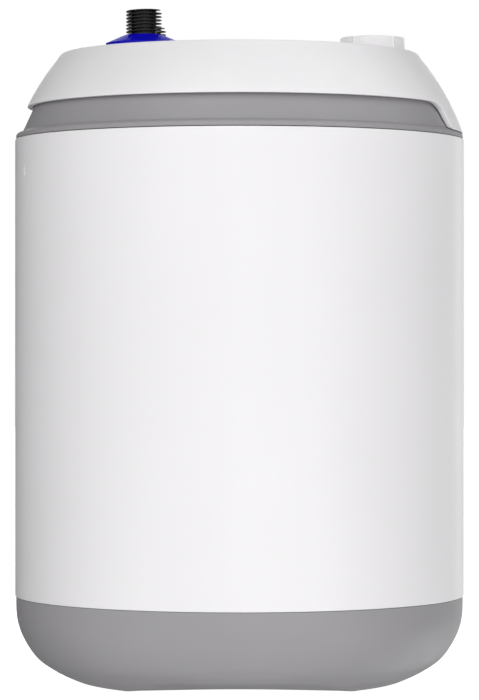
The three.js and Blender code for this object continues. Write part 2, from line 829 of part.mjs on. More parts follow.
add("insulation_upper", insulationUpper(), foam);
add("hanger_nut_left", hangerNut(1), whiteEnamel);
add("hanger_nut_right", hangerNut(-1), whiteEnamel);
add("base_washer", baseWasher(), steel);
add("base_screw", baseScrew(), steel);

export default heater;
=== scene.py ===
import json
import math

import bmesh
import bpy
import numpy as np
from mathutils import Matrix, Vector


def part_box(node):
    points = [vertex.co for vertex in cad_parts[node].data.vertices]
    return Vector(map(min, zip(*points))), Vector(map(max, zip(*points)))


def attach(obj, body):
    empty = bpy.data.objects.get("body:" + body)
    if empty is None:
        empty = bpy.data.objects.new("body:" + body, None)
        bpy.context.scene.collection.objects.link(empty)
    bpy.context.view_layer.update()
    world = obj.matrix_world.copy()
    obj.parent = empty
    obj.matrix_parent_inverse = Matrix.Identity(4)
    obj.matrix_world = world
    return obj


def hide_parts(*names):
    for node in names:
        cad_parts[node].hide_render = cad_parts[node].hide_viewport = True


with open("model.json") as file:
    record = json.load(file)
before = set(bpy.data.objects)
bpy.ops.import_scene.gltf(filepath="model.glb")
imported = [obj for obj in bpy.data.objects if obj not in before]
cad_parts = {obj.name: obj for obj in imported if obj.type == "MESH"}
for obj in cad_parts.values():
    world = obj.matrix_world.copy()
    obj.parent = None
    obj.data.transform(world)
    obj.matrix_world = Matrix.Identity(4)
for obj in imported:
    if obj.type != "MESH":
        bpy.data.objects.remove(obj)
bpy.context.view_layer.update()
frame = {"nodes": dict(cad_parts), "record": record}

MM = 0.001
TAU = 2 * math.pi

# ---- dimensions taken from the frame ----


def span(node):
    """Lowest and highest corner of a CAD node in millimetres."""
    low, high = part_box(node)
    return low / MM, high / MM


jacket_low, jacket_high = span("jacket")
base_high = span("base_cap")[1]
ring_low, ring_high = span("top_ring")
cap_low, cap_high = span("top_cap")
knob_low, knob_high = span("control_knob")
stub_low, stub_high = span("cold_stub")
collar_low, collar_high = span("cold_collar")
grommet_low, grommet_high = span("cable_grommet")

JACKET_R = jacket_high.x
JACKET_BOTTOM = jacket_low.z
JACKET_TOP = jacket_high.z
BASE_RIM_R = base_high.x
BASE_RIM_Z = JACKET_BOTTOM - 0.3
RIM_R = ring_high.x
CAP_TOP = cap_high.z
STUB_X = (stub_low.x + stub_high.x) / 2
STUB_Y = (stub_low.y + stub_high.y) / 2
STUB_TOP = stub_high.z
KNOB_X = (knob_low.x + knob_high.x) / 2
KNOB_R = (knob_high.x - knob_low.x) / 2
KNOB_BOTTOM = knob_low.z
KNOB_TOP = knob_high.z
GROMMET_X = (grommet_low.x + grommet_high.x) / 2

# ---- mesh helpers ----


def soften(corners, steps=5):
    """Profile points from (r, z, radius) corners, each corner rounded by about its radius."""
    points = []
    count = len(corners)
    for i, (r, z, radius) in enumerate(corners):
        here = Vector((r, z))
        if radius == 0:
            points.append(tuple(here))
            continue
        before = Vector(corners[i - 1][:2]) - here
        after = Vector(corners[(i + 1) % count][:2]) - here
        reach = radius / math.tan(before.angle(after) / 2)
        reach = min(reach, 0.48 * before.length, 0.48 * after.length)
        start = here + before.normalized() * reach
        end = here + after.normalized() * reach
        for k in range(steps + 1):
            t = k / steps
            points.append(tuple(start * (1 - t) ** 2 + here * 2 * t * (1 - t) + end * t ** 2))
    return points


def arc(centre, radius, start, end, steps):
    """Points of a circular arc between two angles in degrees."""
    angles = np.radians(np.linspace(start, end, steps + 1))
    return [(centre[0] + radius * math.cos(a), centre[1] + radius * math.sin(a)) for a in angles]


def divide(points, longest, closed=True):
    """The same profile with long straight stretches divided."""
    result = []
    following = points[1:] + points[:1] if closed else points[1:]
    for (r0, z0), (r1, z1) in zip(points, following):
        parts = max(1, math.ceil(math.hypot(r1 - r0, z1 - z0) / longest))
        for k in range(parts):
            result.append((r0 + (r1 - r0) * k / parts, z0 + (z1 - z0) * k / parts))
    return result if closed else result + [points[-1]]


def make_object(name, verts, faces, sharp=32):
    """A smooth-shaded mesh object from millimetre vertices, with faces outward."""
    mesh = bpy.data.meshes.new(name)
    mesh.from_pydata([tuple(v) for v in np.asarray(verts, float) * MM], [], faces)
    bm = bmesh.new()
    bm.from_mesh(mesh)
    bmesh.ops.remove_doubles(bm, verts=bm.verts, dist=1e-7)
    bmesh.ops.dissolve_degenerate(bm, edges=bm.edges, dist=1e-7)
    bmesh.ops.recalc_face_normals(bm, faces=bm.faces)
    bm.to_mesh(mesh)
    bm.free()
    finish_shading(mesh, sharp)
    obj = bpy.data.objects.new(name, mesh)
    bpy.context.scene.collection.objects.link(obj)
    return obj


def finish_shading(mesh, sharp):
    mesh.shade_smooth()
    mesh.set_sharp_from_angle(angle=math.radians(sharp))


def loft(name, rings, closed=True, sharp=32):
    """Joins point rings (all of one length) into a skin; closed joins the last ring to the first."""
    rings = np.asarray(rings, float)
    count, size, _ = rings.shape
    faces = []
    for i in range(count if closed else count - 1):
        a, b = i * size, ((i + 1) % count) * size
        for j in range(size):
            k = (j + 1) % size
            faces.append((a + j, b + j, b + k, a + k))
    return make_object(name, rings.reshape(-1, 3), faces, sharp)


def prism(name, outline, low, high):
    """An upright solid over a closed plan outline."""
    count = len(outline)
    verts = [(x, y, z) for z in (low, high) for x, y in outline]
    faces = [tuple(range(count)), tuple(range(count, 2 * count))]
    for i in range(count):
        k = (i + 1) % count
        faces.append((i, k, count + k, count + i))
    return make_object(name, verts, faces)


def even_angles(sides):
    return [TAU * k / sides for k in range(sides)]


def revolve(name, profile, angles=192, shape=None, centre=(0, 0), sharp=32):
    """A closed profile turned about the vertical through centre; shape(r, z, angle) may bend it."""
    if isinstance(angles, int):
        angles = even_angles(angles)
    rings = []
    for angle in angles:
        ring = []
        for r, z in profile:
            if shape:
                r, z = shape(r, z, angle)
            ring.append((centre[0] + r * math.cos(angle), centre[1] + r * math.sin(angle), z))
        rings.append(ring)
    return loft(name, rings, sharp=sharp)


def carve(obj, *cutters, sharp=32):
    """Cuts closed tool objects out of obj and throws the tools away."""
    for cutter in cutters:
        modifier = obj.modifiers.new("cut", "BOOLEAN")
        modifier.operation = "DIFFERENCE"
        modifier.solver = "EXACT"
        modifier.object = cutter
    bpy.context.view_layer.update()
    evaluated = obj.evaluated_get(bpy.context.evaluated_depsgraph_get())
    mesh = bpy.data.meshes.new_from_object(evaluated)
    obj.modifiers.clear()
    old = obj.data
    obj.data = mesh
    bpy.data.meshes.remove(old)
    finish_shading(mesh, sharp)
    for cutter in cutters:
        bpy.data.objects.remove(cutter)
    return obj


def join(name, *objs):
    """Merges pieces into one object with the given name."""
    bm = bmesh.new()
    for obj in objs:
        bm.from_mesh(obj.data)
    mesh = bpy.data.meshes.new(name)
    bm.to_mesh(mesh)
    bm.free()
    for obj in objs:
        bpy.data.objects.remove(obj)
    finish_shading(mesh, 32)
    joined = bpy.data.objects.new(name, mesh)
    bpy.context.scene.collection.objects.link(joined)
    return joined


def place(obj, node, material, body="housing"):
    """Puts a finished piece in the object: it stands for a CAD node and rides on a body."""
    obj.data.materials.clear()
    obj.data.materials.append(material)
    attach(obj, body)
    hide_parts(node)
    return obj


# ---- materials ----


class Nodes:
    """A short way to wire a material's nodes."""

    def __init__(self, name):
        self.material = bpy.data.materials.new(name)
        self.material.use_nodes = True
        self.tree = self.material.node_tree
        self.shader = self.tree.nodes["Principled BSDF"]
        coordinates = self.tree.nodes.new("ShaderNodeTexCoord")
        self.point = coordinates.outputs["Object"]

    def node(self, kind, **inputs):
        made = self.tree.nodes.new(kind)
        for key, value in inputs.items():
            self.put(made.inputs[key.replace("_", " ")], value)
        return made

    def put(self, socket, value):
        if isinstance(value, bpy.types.NodeSocket):
            self.tree.links.new(value, socket)
        else:
            socket.default_value = value

    def noise(self, scale, detail=3.0, rough=0.5, stretch=None):
        point = self.point
        if stretch:
            mapping = self.node("ShaderNodeMapping", Vector=point)
            mapping.inputs["Scale"].default_value = stretch
            point = mapping.outputs["Vector"]
        texture = self.node("ShaderNodeTexNoise", Vector=point, Scale=scale, Detail=detail, Roughness=rough)
        return texture.outputs["Fac"]

    def spread(self, value, low, high, start=0.35, end=0.65):
        """Maps a texture value onto low..high."""
        ramp = self.node("ShaderNodeMapRange", Value=value)
        ramp.inputs["From Min"].default_value = start
        ramp.inputs["From Max"].default_value = end
        ramp.inputs["To Min"].default_value = low
        ramp.inputs["To Max"].default_value = high
        return ramp.outputs["Result"]

    def blend(self, amount, first, second):
        mix = self.tree.nodes.new("ShaderNodeMix")
        mix.data_type = "RGBA"
        self.put(mix.inputs["Factor"], amount)
        colours = [socket for socket in mix.inputs if socket.type == "RGBA"]
        self.put(colours[0], first)
        self.put(colours[1], second)
        return [socket for socket in mix.outputs if socket.type == "RGBA"][0]

    def bump(self, height, distance, strength=1.0, below=None):
        made = self.node("ShaderNodeBump", Height=height, Strength=strength, Distance=distance)
        if below is not None:
            self.put(made.inputs["Normal"], below)
        return made.outputs["Normal"]

    def edges(self):
        """0 on flats, rising to 1 on convex edges."""
        geometry = self.tree.nodes.new("ShaderNodeNewGeometry")
        return self.spread(geometry.outputs["Pointiness"], 0, 1, 0.52, 0.62)


def rgb(colour, gain=1.0):
    return tuple(min(1.0, c * gain) for c in colour) + (1.0,)


def moulding(name, colour, roughness, grain=0.0004, depth=0.000012, gloss=0.5):
    """Injection-moulded plastic: fine spark-eroded grain, slight cloudiness, paler worn edges."""
    n = Nodes(name)
    cloud = n.noise(9, 4, 0.6)
    tone = n.blend(n.spread(cloud, 0, 1), rgb(colour, 0.97), rgb(colour, 1.02))
    worn = n.node("ShaderNodeMath", Value=n.edges())
    worn.operation = "MULTIPLY"
    worn.inputs[1].default_value = 0.25
    n.put(n.shader.inputs["Base Color"], n.blend(worn.outputs["Value"], tone, rgb(colour, 1.12)))
    smudge = n.noise(28, 5, 0.7)
    n.put(n.shader.inputs["Roughness"], n.spread(smudge, roughness - 0.05, roughness + 0.06))
    n.put(n.shader.inputs["Specular IOR Level"], gloss)
    fine = n.noise(1 / grain, 2, 0.6)
    flow = n.noise(14, 2, 0.5)
    waves = n.bump(flow, 0.00006, 0.4)
    n.put(n.shader.inputs["Normal"], n.bump(fine, depth, 1.0, waves))
    return n.material


def enamel(name, colour, roughness):
    """Stoved enamel on sheet steel: faint orange peel under a smooth gloss."""
    n = Nodes(name)
    cloud = n.spread(n.noise(6, 3, 0.5), 0, 1)
    n.put(n.shader.inputs["Base Color"], n.blend(cloud, rgb(colour, 0.985), rgb(colour, 1.01)))
    smudge = n.noise(18, 5, 0.7, (1, 1, 0.5))
    n.put(n.shader.inputs["Roughness"], n.spread(smudge, roughness - 0.04, roughness + 0.05))
    n.put(n.shader.inputs["Coat Weight"], 0.15)
    n.put(n.shader.inputs["Coat Roughness"], 0.18)
    peel = n.noise(700, 2, 0.5)
    sheet = n.noise(7, 1, 0.4, (1, 1, 0.15))
    n.put(n.shader.inputs["Normal"], n.bump(peel, 0.000006, 0.8, n.bump(sheet, 0.00025, 0.25)))
    return n.material


def metal(name, colour, roughness, stretch=(1, 1, 12), tarnish=0.8):
    """Plated or drawn metal: fine drawing lines, cloudy tarnish and bright edges."""
    n = Nodes(name)
    cloud = n.spread(n.noise(60, 5, 0.65), 0, 1)
    tone = n.blend(cloud, rgb(colour, tarnish), rgb(colour, 1.05))
    n.put(n.shader.inputs["Base Color"], n.blend(n.edges(), tone, rgb(colour, 1.25)))
    n.put(n.shader.inputs["Metallic"], 1.0)
    lines = n.noise(900, 3, 0.7, stretch)
    n.put(n.shader.inputs["Roughness"], n.spread(lines, roughness - 0.08, roughness + 0.12))
    n.put(n.shader.inputs["Normal"], n.bump(lines, 0.00001, 0.7))
    return n.material


def rubber(name, colour):
    n = Nodes(name)
    bloom = n.spread(n.noise(120, 5, 0.7), 0, 1)
    n.put(n.shader.inputs["Base Color"], n.blend(bloom, rgb(colour, 0.8), rgb(colour, 1.5)))
    n.put(n.shader.inputs["Roughness"], n.spread(bloom, 0.7, 0.9, 0, 1))
    n.put(n.shader.inputs["Normal"], n.bump(n.noise(1800, 2, 0.6), 0.00003, 0.8))
    return n.material


def glass_enamel(name, colour):
    """Vitreous tank enamel: deep gloss with fine pale speckle."""
    n = Nodes(name)
    cells = n.node("ShaderNodeTexVoronoi", Vector=n.point, Scale=900.0)
    speck = n.spread(cells.outputs["Distance"], 0.5, 0, 0.0, 0.25)
    cloud = n.blend(n.spread(n.noise(20, 4, 0.6), 0, 1), rgb(colour, 0.8), rgb(colour, 1.2))
    n.put(n.shader.inputs["Base Color"], n.blend(speck, cloud, rgb(colour, 2.2)))
    n.put(n.shader.inputs["Roughness"], n.spread(n.noise(200, 3, 0.5), 0.12, 0.24))
    n.put(n.shader.inputs["Normal"], n.bump(n.noise(160, 2, 0.5), 0.00008, 0.6))
    return n.material


def bead_foam(name, colour):
    """Expanded bead foam: packed beads with darker joints."""
    n = Nodes(name)
    cells = n.node("ShaderNodeTexVoronoi", Vector=n.point, Scale=260.0)
    height = n.spread(cells.outputs["Distance"], 1, 0, 0.1, 0.6)
    n.put(n.shader.inputs["Base Color"], n.blend(height, rgb(colour, 0.86), rgb(colour, 1.03)))
    n.put(n.shader.inputs["Roughness"], 0.95)
    n.put(n.shader.inputs["Normal"], n.bump(height, 0.0004, 0.8))
    return n.material


finishes = {
    "white_enamel": enamel("white_enamel", (0.90, 0.885, 0.90), 0.34),
    "white_plastic": moulding("white_plastic", (0.9, 0.887, 0.9), 0.46),
    "grey_plastic": moulding("grey_plastic", (0.336, 0.327, 0.34), 0.5, depth=0.00002),
    "black_plastic": moulding("black_plastic", (0.003, 0.003, 0.0035), 0.34, depth=0.000004),
    "blue_plastic": moulding("blue_plastic", (0.001, 0.0, 0.46), 0.5, gloss=0.16),
    "red_plastic": moulding("red_plastic", (0.42, 0.003, 0.004), 0.5, gloss=0.16),
    "black_rubber": rubber("black_rubber", (0.02, 0.02, 0.021)),
    "tank_enamel": glass_enamel("tank_enamel", (0.02, 0.08, 0.13)),
    "zinc_steel": metal("zinc_steel", (0.58, 0.60, 0.63), 0.32),
    "copper": metal("copper", (0.78, 0.42, 0.27), 0.3, (1, 1, 0.1), 0.6),
    "magnesium": metal("magnesium", (0.62, 0.63, 0.64), 0.6, (1, 1, 1), 0.85),
    "foam": bead_foam("foam", (0.84, 0.85, 0.84)),
    "natural_plastic": moulding("natural_plastic", (0.74, 0.71, 0.62), 0.4),
    "brown_wire": moulding("brown_wire", (0.06, 0.02, 0.008), 0.4),
    "blue_wire": moulding("blue_wire", (0.01, 0.06, 0.42), 0.4),
    "green_wire": moulding("green_wire", (0.05, 0.30, 0.02), 0.4),
}
SLOTS = {entry["node"]: entry["material_slot"] for entry in frame["record"]["subparts"]}

# ---- the white sheet jacket ----

SHEET = 1.0
FLANGE_R = 128.0
HANGER_Z = (span("hanger_nut_left")[0].z + span("hanger_nut_left")[1].z) / 2
HANGER_HOLE_R = 3.65
HANGER_HEAD_R = 3.6
HANGER_BORE_R = 2.1
HANGER_EDGE = 0.1
HANGER_FACE = JACKET_R - 0.1
HANGER_INNER = 123.5
HANGER_NECK_R = 4.6
HANGER_NECK_END = 131.5
HANGER_COLLAR_R = 6.0
HANGER_COLLAR_END = 133.2
SEAM_DEPTH = 0.35
SEAM_HALF_ANGLE = math.radians(0.35)


def hanger_angle(node):
    low, high = span(node)
    return math.atan2((low.y + high.y) / 2, (low.x + high.x) / 2)


def radial_rod(radius, inner, outer, angle, z, flare):
    """A round tool laid along the outward direction, a little wider at its outer end."""
    turn = even_angles(40)
    rings = []
    out = np.array((math.cos(angle), math.sin(angle), 0.0))
    side = np.array((-math.sin(angle), math.cos(angle), 0.0))
    up = np.array((0.0, 0.0, 1.0))
    mouth = radius + 3 * flare
    stations = [(inner, 0.0), (inner, radius), (outer - 3 * flare, radius), (outer, mouth)]
    stations += [(outer + 3, mouth), (outer + 3, 0.0)]
    for distance, r in stations:
        rings.append([out * distance + up * z + r * (side * math.cos(a) + up * math.sin(a)) for a in turn])
    return loft("tool", rings, closed=False)


def build_jacket():
    inner = JACKET_R - SHEET
    corners = [
        (inner, JACKET_BOTTOM, 0.35),
        (JACKET_R, JACKET_BOTTOM, 0.45),
        (JACKET_R, JACKET_TOP, 0.75),
        (FLANGE_R, JACKET_TOP, 0.3),
        (FLANGE_R, JACKET_TOP - SHEET, 0.3),
        (inner, JACKET_TOP - SHEET, 0.8),
    ]
    profile = divide(soften(corners), 6)
    seam = [math.pi + SEAM_HALF_ANGLE * k for k in (-2, -1.2, -0.8, -0.3, 0.3, 0.8, 1.2, 2)]
    angles = sorted([a for a in even_angles(320) if abs(a - math.pi) > 2.2 * SEAM_HALF_ANGLE] + seam)

    def shape(r, z, angle):
        if abs(angle - math.pi) < SEAM_HALF_ANGLE and r > inner + 0.3:
            return r - SEAM_DEPTH, z
        return r, z

    jacket = revolve("jacket_shell", profile, angles, shape)
    tools = []
    for node in ("hanger_nut_left", "hanger_nut_right"):
        angle = hanger_angle(node)
        tools.append(radial_rod(HANGER_HOLE_R, JACKET_R - 8, JACKET_R, angle, HANGER_Z, HANGER_EDGE))
    return carve(jacket, *tools)


def build_hanger_nut(name, node):
    """A round insert pressed into the jacket, its painted face all but flush with the sheet."""
    angle = hanger_angle(node)
    corners = [
        (HANGER_BORE_R, HANGER_INNER, 0.3),
        (HANGER_NECK_R, HANGER_INNER, 0.5),
        (HANGER_NECK_R, HANGER_NECK_END, 0.3),
        (HANGER_COLLAR_R, HANGER_NECK_END, 0.3),
        (HANGER_COLLAR_R, HANGER_COLLAR_END, 0.3),
        (HANGER_HEAD_R, HANGER_COLLAR_END, 0.1),
        (HANGER_HEAD_R, HANGER_FACE, 0.15),
        (HANGER_BORE_R + 0.15, HANGER_FACE, 0.1),
        (HANGER_BORE_R, HANGER_FACE - 0.3, 0.1),
    ]
    nut = revolve(name, soften(corners, 3), 64)
    out = Vector((math.cos(angle), math.sin(angle), 0))
    turn = Vector((0, 0, 1)).rotation_difference(out).to_matrix().to_4x4()
    nut.data.transform(Matrix.Translation((0, 0, HANGER_Z * MM)) @ turn)
    return nut


# ---- the grey bowl ----

# The hollows between the feet: an arch on the outside, a steep face below it down to a knee, then a
# slow fall to the floor of the hollow.
SCOOP_CREST = 16.5
SCOOP_ARCH_R = 136.4
SCOOP_FLOOR = 3.4
SCOOP_FLOOR_ARCH_R = 520.0
SCOOP_INNER_R = 88.0
SCOOP_OUTER_R = 128.0
SCOOP_END = 64.0
SCOOP_KNEE = 10.0
SCOOP_KNEE_SOFTNESS = 1.5
SCOOP_STEEPNESS = 1.15
SCOOP_RISE = [(0.0, 0.0), (0.24, 0.17), (0.47, 0.36), (0.71, 0.61), (0.9, 0.84), (1.0, 1.0)]
FOOT_R = 92.0
# Control points (r, z) of the bowl's outline, from the foot to the rim, fitted to the photo's outline.
BOWL = [(FOOT_R, 0), (96, 0), (100, 1.7), (104.2, 3.5), (108.7, 5.5), (113, 8), (117, 10.5), (121, 13.4)]
BOWL += [(125, 18), (128.1, 23), (131, 28.3), (133.2, 34.6), (134.4, 41.2), (BASE_RIM_R, BASE_RIM_Z)]
SIDE_SCOOP_HEIGHT = 0.9
CREASE_SOFTNESS = 0.45
BOWL_WALL = 2.8
BOWL_INNER_Z = 8.0
UPSTAND_STEP = 0.8
UNDER_FLOOR_Z = 5.0
UNDER_FLOOR_R = 86.0
FOOT_INNER_R = 88.5
POST_R = 18.0
POST_NECK_R = 11.0
POST_BORE_R = 4.4
POST_UNDER_Z = 14.3
POST_FLOOR_Z = 17.3
POST_TOP = 24.0
RIBS = 12
RIB_HEIGHT = 0.9
RIB_HALF_WIDTH = 1.1
RIB_EDGE = 0.4
RIB_INNER_R = 26.0
RIB_OUTER_R = 84.0
RIB_END = 2.0


def spline(points, steps):
    """A smooth curve led by control points, starting and ending on the outer two."""
    p = np.array(points, float)
    p = np.vstack([2 * p[0] - p[1], p, 2 * p[-1] - p[-2]])
    t = np.linspace(0, 1, steps + 1)[:-1, None]
    curve = []
    for a, b, c, d in zip(p, p[1:], p[2:], p[3:]):
        near = a * (1 - t) ** 3 + b * (3 * t ** 3 - 6 * t ** 2 + 4)
        far = c * (-3 * t ** 3 + 3 * t ** 2 + 3 * t + 1) + d * t ** 3
        curve += [tuple(point) for point in (near + far) / 6]
    return curve + [tuple(p[-2])]


BOWL_CURVE = spline(BOWL, 6)


def bowl_radius(z):
    return np.interp(z, [h for _, h in BOWL_CURVE], [r for r, _ in BOWL_CURVE])


def soft_max(a, b, width):
    """The larger of two heights, with the crease between them rounded."""
    return (a + b + math.sqrt((a - b) ** 2 + width ** 2)) / 2


def scoop_height(x, y):
    """Height of the hollow over a point of the plan; only the ones along Y are deep."""
    across = min(abs(x), abs(y))
    if abs(x) > abs(y):
        return SIDE_SCOOP_HEIGHT * (1 - (across / SCOOP_END) ** 2)
    arch = SCOOP_CREST - SCOOP_ARCH_R + math.sqrt(SCOOP_ARCH_R ** 2 - across ** 2)
    knee = -soft_max(-arch, -SCOOP_KNEE, SCOOP_KNEE_SOFTNESS)
    floor = SCOOP_FLOOR - across ** 2 / (2 * SCOOP_FLOOR_ARCH_R)
    crease_r = max(bowl_radius(arch), SCOOP_INNER_R + 2)
    knee_r = crease_r - (arch - knee) / SCOOP_STEEPNESS
    r = math.hypot(x, y)
    if r > knee_r:
        return min(arch, knee + (r - knee_r) * SCOOP_STEEPNESS)
    outward = (r - SCOOP_INNER_R) / (knee_r - SCOOP_INNER_R)
    share = np.interp(outward, [v for v, _ in SCOOP_RISE], [s for _, s in SCOOP_RISE])
    return floor + (knee - floor) * float(share)


def rib_depth(r, angle):
    """How far a stiffening rib stands down from the underside."""
    pitch = TAU / RIBS
    across = abs((angle / pitch + 0.5) % 1 - 0.5) * pitch * r
    side = max(0.0, min(1.0, (RIB_HALF_WIDTH + RIB_EDGE - across) / RIB_EDGE))
    ends = min(1, (r - RIB_INNER_R) / RIB_END, (RIB_OUTER_R - r) / RIB_END)
    return RIB_HEIGHT * side * max(0.0, ends)


def build_base():
    inside = BASE_RIM_R - BOWL_WALL
    upstand = BASE_RIM_R - UPSTAND_STEP
    under = [
        (POST_BORE_R, POST_UNDER_Z, 0),
        (POST_R, POST_UNDER_Z, 0.8),
        (POST_R + 2, UNDER_FLOOR_Z, 1.2),
        (UNDER_FLOOR_R, UNDER_FLOOR_Z, 1.5),
        (FOOT_INNER_R, 0, 0.8),
        (FOOT_R, 0, 0),
    ]
    inner = [
        (upstand, BASE_RIM_Z, 0),
        (upstand, base_high.z, 0.5),
        (inside, base_high.z, 0.5),
        (inside, 41.4, 2),
        (129, 30, 4),
        (124.5, 20.5, 2),
        (113, 13.5, 2),
        (95, BOWL_INNER_Z, 2),
        (POST_R + 5, BOWL_INNER_Z, 1),
        (POST_R + 3, POST_FLOOR_Z, 1),
        (POST_NECK_R, POST_FLOOR_Z, 1),
        (POST_NECK_R, POST_TOP, 0.6),
        (POST_BORE_R, POST_TOP, 0),
    ]
    lower = divide(soften(under)[:-1] + BOWL_CURVE, 1.4, closed=False)
    upper = divide(soften(inner), 6, closed=False)
    inner_points = set(upper)

    def shape(r, z, angle):
        if (r, z) in inner_points:
            return r, z
        if RIB_INNER_R < r < RIB_OUTER_R:
            return r, z - rib_depth(r, angle)
        if UNDER_FLOOR_R <= r < SCOOP_OUTER_R:
            height = scoop_height(r * math.cos(angle), r * math.sin(angle))
            return r, soft_max(z, height, CREASE_SOFTNESS)
        return r, z

    return revolve("base_bowl", lower + upper, 576, shape)


# ---- the grey band ring ----

BAND_LOW = (130.5, 329.6)
BAND_HIGH = (120.0, ring_high.z)
BEAD_EDGE = (RIM_R - 0.7, 328.4)
BEAD_HEIGHT = 0.95
RING_BORE_R = 125.1
RING_SKIRT_R = 127.5


def build_ring():
    low = ring_low.z
    rim_bottom = JACKET_TOP + 0.4
    corners = [
        (RING_BORE_R, low, 0.4),
        (RING_SKIRT_R, low, 0.4),
        (RING_SKIRT_R, rim_bottom, 0.3),
        (RIM_R, rim_bottom, 0.3),
        (RIM_R, BEAD_EDGE[1] - BEAD_HEIGHT, 0.5),
        BEAD_EDGE + (0.6,),
        BAND_LOW + (0.5,),
        BAND_HIGH + (0.5,),
        (BAND_HIGH[0] - 2.2, BAND_HIGH[1] - 1, 0.5),
        (RING_BORE_R, 334.5, 1),
    ]
    return revolve("band_ring", divide(soften(corners), 4), 288)


# ---- the white cap ----

WALL_CENTRE = (-8.15, 278.15)
WALL_R = 151.3
WALL = 3.2
DOME_R = 1116.0
SHOULDER_R = 107.6
SHOULDER_DROP = 3.2
LIP_Z = 344.5
NOSE_BOTTOM = cap_low.z
NOSE_BOTTOM_Y = 47.6
NOSE_FILLET_Y = 66.0
NOSE_KNEE = (50.4, 338.5)
EDGE_ROUND = [(0.55, 0.0), (0.24, 0.1), (0.07, 0.28), (0.0, 0.6)]
EDGE_REACH = 2.2
NOSE_SOLE_SLOPE = 0.44
WELL_R = 21
WELL_FLOOR = KNOB_BOTTOM - 0.5
SEAT_R = 22.5
SEAT_LOW = 371.8
SEAT_HIGH = 375.2
SHAFT_HOLE_R = 5
STUB_HOLE_R = 11.3
CABLE_HOLE_R = 7
SCREW_HOLE_R = 1.9
SCREW_HOLE_Y = 11.5
SEAT_CUT = (365, 378)  # heights between which holes go through the knob's seat
CAP_CUT = (360, 395)  # heights between which holes go through the whole cap


def wall_radius(z, radius=WALL_R):
    return WALL_CENTRE[0] + math.sqrt(radius ** 2 - (z - WALL_CENTRE[1]) ** 2)


def dome(r, top=CAP_TOP):
    return top - r * r / (2 * DOME_R)


def bezier(points, steps):
    a, b, c, d = [np.array(p, float) for p in points]
    t = np.linspace(0, 1, steps + 1)[:, None]
    return a * (1 - t) ** 3 + 3 * b * t * (1 - t) ** 2 + 3 * c * t ** 2 * (1 - t) + d * t ** 3


def nose_outline():
    """(y, z) down one side of the nose, from the lip to the nose's bottom edge."""
    foot = (NOSE_BOTTOM_Y + 0.4, NOSE_BOTTOM + 1.8)
    corner = (NOSE_BOTTOM_Y, NOSE_BOTTOM)
    fillet = bezier([(NOSE_FILLET_Y, LIP_Z), (56.5, LIP_Z), (51.2, 343.2), NOSE_KNEE], 16)
    side = np.linspace(NOSE_KNEE, foot, 6)[1:]
    turn = bezier([foot, corner, corner, (NOSE_BOTTOM_Y - 2.2, NOSE_BOTTOM)], 6)[1:]
    return np.vstack([fillet, side, turn])


def edge_columns():
    """For each column of the cap: its angle, edge height, and the edge's inward direction (y, z)."""
    outline = nose_outline()
    tangents = np.gradient(outline, axis=0)
    columns = []
    for (y, z), tangent in zip(outline, tangents):
        ny, nz = np.array((tangent[1], -tangent[0])) / np.linalg.norm(tangent)
        angle = math.asin(y / wall_radius(z))
        columns.append((angle, z, ny, nz))
        columns.append((TAU - angle, z, -ny, nz))
    start = columns[0][0]
    end = columns[-2][0]
    for angle in even_angles(288):
        turn = min(angle, TAU - angle)
        if turn < end - 0.005:
            columns.append((angle, NOSE_BOTTOM, 0.0, 1.0))
        elif turn > start + 0.005:
            columns.append((angle, LIP_Z, 0.0, 1.0))
    return sorted(columns)


def cap_section(column):
    """The cap's section at one column: from the top's centre out, down, round the edge and back."""
    angle, edge, ny, nz = column
    edge_y = wall_radius(edge) * math.sin(angle)

    def polar(r, z, turn=angle):
        return (r * math.cos(turn), r * math.sin(turn), z)

    def edge_turn(z, radius, offset):
        if ny == 0:
            return angle
        r = wall_radius(z, radius)
        return angle + math.asin((edge_y + ny * offset) / r) - math.asin(edge_y / r)

    sole = NOSE_SOLE_SLOPE * max(0.0, 1 - (edge - NOSE_BOTTOM) / 2)

    def near_edge(offset, inset):
        z = edge + nz * offset + sole * inset
        radius = WALL_R - inset
        return polar(wall_radius(z, radius), z, edge_turn(z, radius, offset))

    def wall(radius, top, steps):
        bottom = edge + nz * EDGE_REACH + sole * (WALL_R - radius)
        for t in np.linspace(0, 1, steps + 1)[:-1]:
            z = top + (bottom - top) * t
            away = edge_turn(z, radius, EDGE_REACH) - angle
            yield polar(wall_radius(z, radius), z, angle + away * t ** 3)

    rim = SHOULDER_R - 0.3
    crest = dome(SHOULDER_R) - SHOULDER_DROP
    start = np.array((rim, dome(rim)))
    corner = np.array((SHOULDER_R, dome(SHOULDER_R) + 0.1))
    end = np.array((wall_radius(crest), crest))
    points = [polar(r, dome(r)) for r in np.linspace(0, rim, 26)]
    for t in np.linspace(0, 1, 10)[1:-1]:
        points.append(polar(*(start * (1 - t) ** 2 + corner * 2 * t * (1 - t) + end * t ** 2)))
    points += wall(WALL_R, crest, 18)
    points.append(near_edge(EDGE_REACH, 0))
    points += [near_edge(offset, inset) for offset, inset in EDGE_ROUND]
    points += [near_edge(offset, WALL - inset) for offset, inset in reversed(EDGE_ROUND)]
    points.append(near_edge(EDGE_REACH, WALL))
    points += reversed(list(wall(WALL_R - WALL, crest - 2, 12)))
    points += [polar(r, dome(r, CAP_TOP - WALL)) for r in np.linspace(SHOULDER_R - 3, 0, 10)]
    return points


def upright_tool(x, y, radius, low, high):
    return revolve("tool", [(0, low), (radius, low), (radius, high), (0, high)], 96, centre=(x, y))


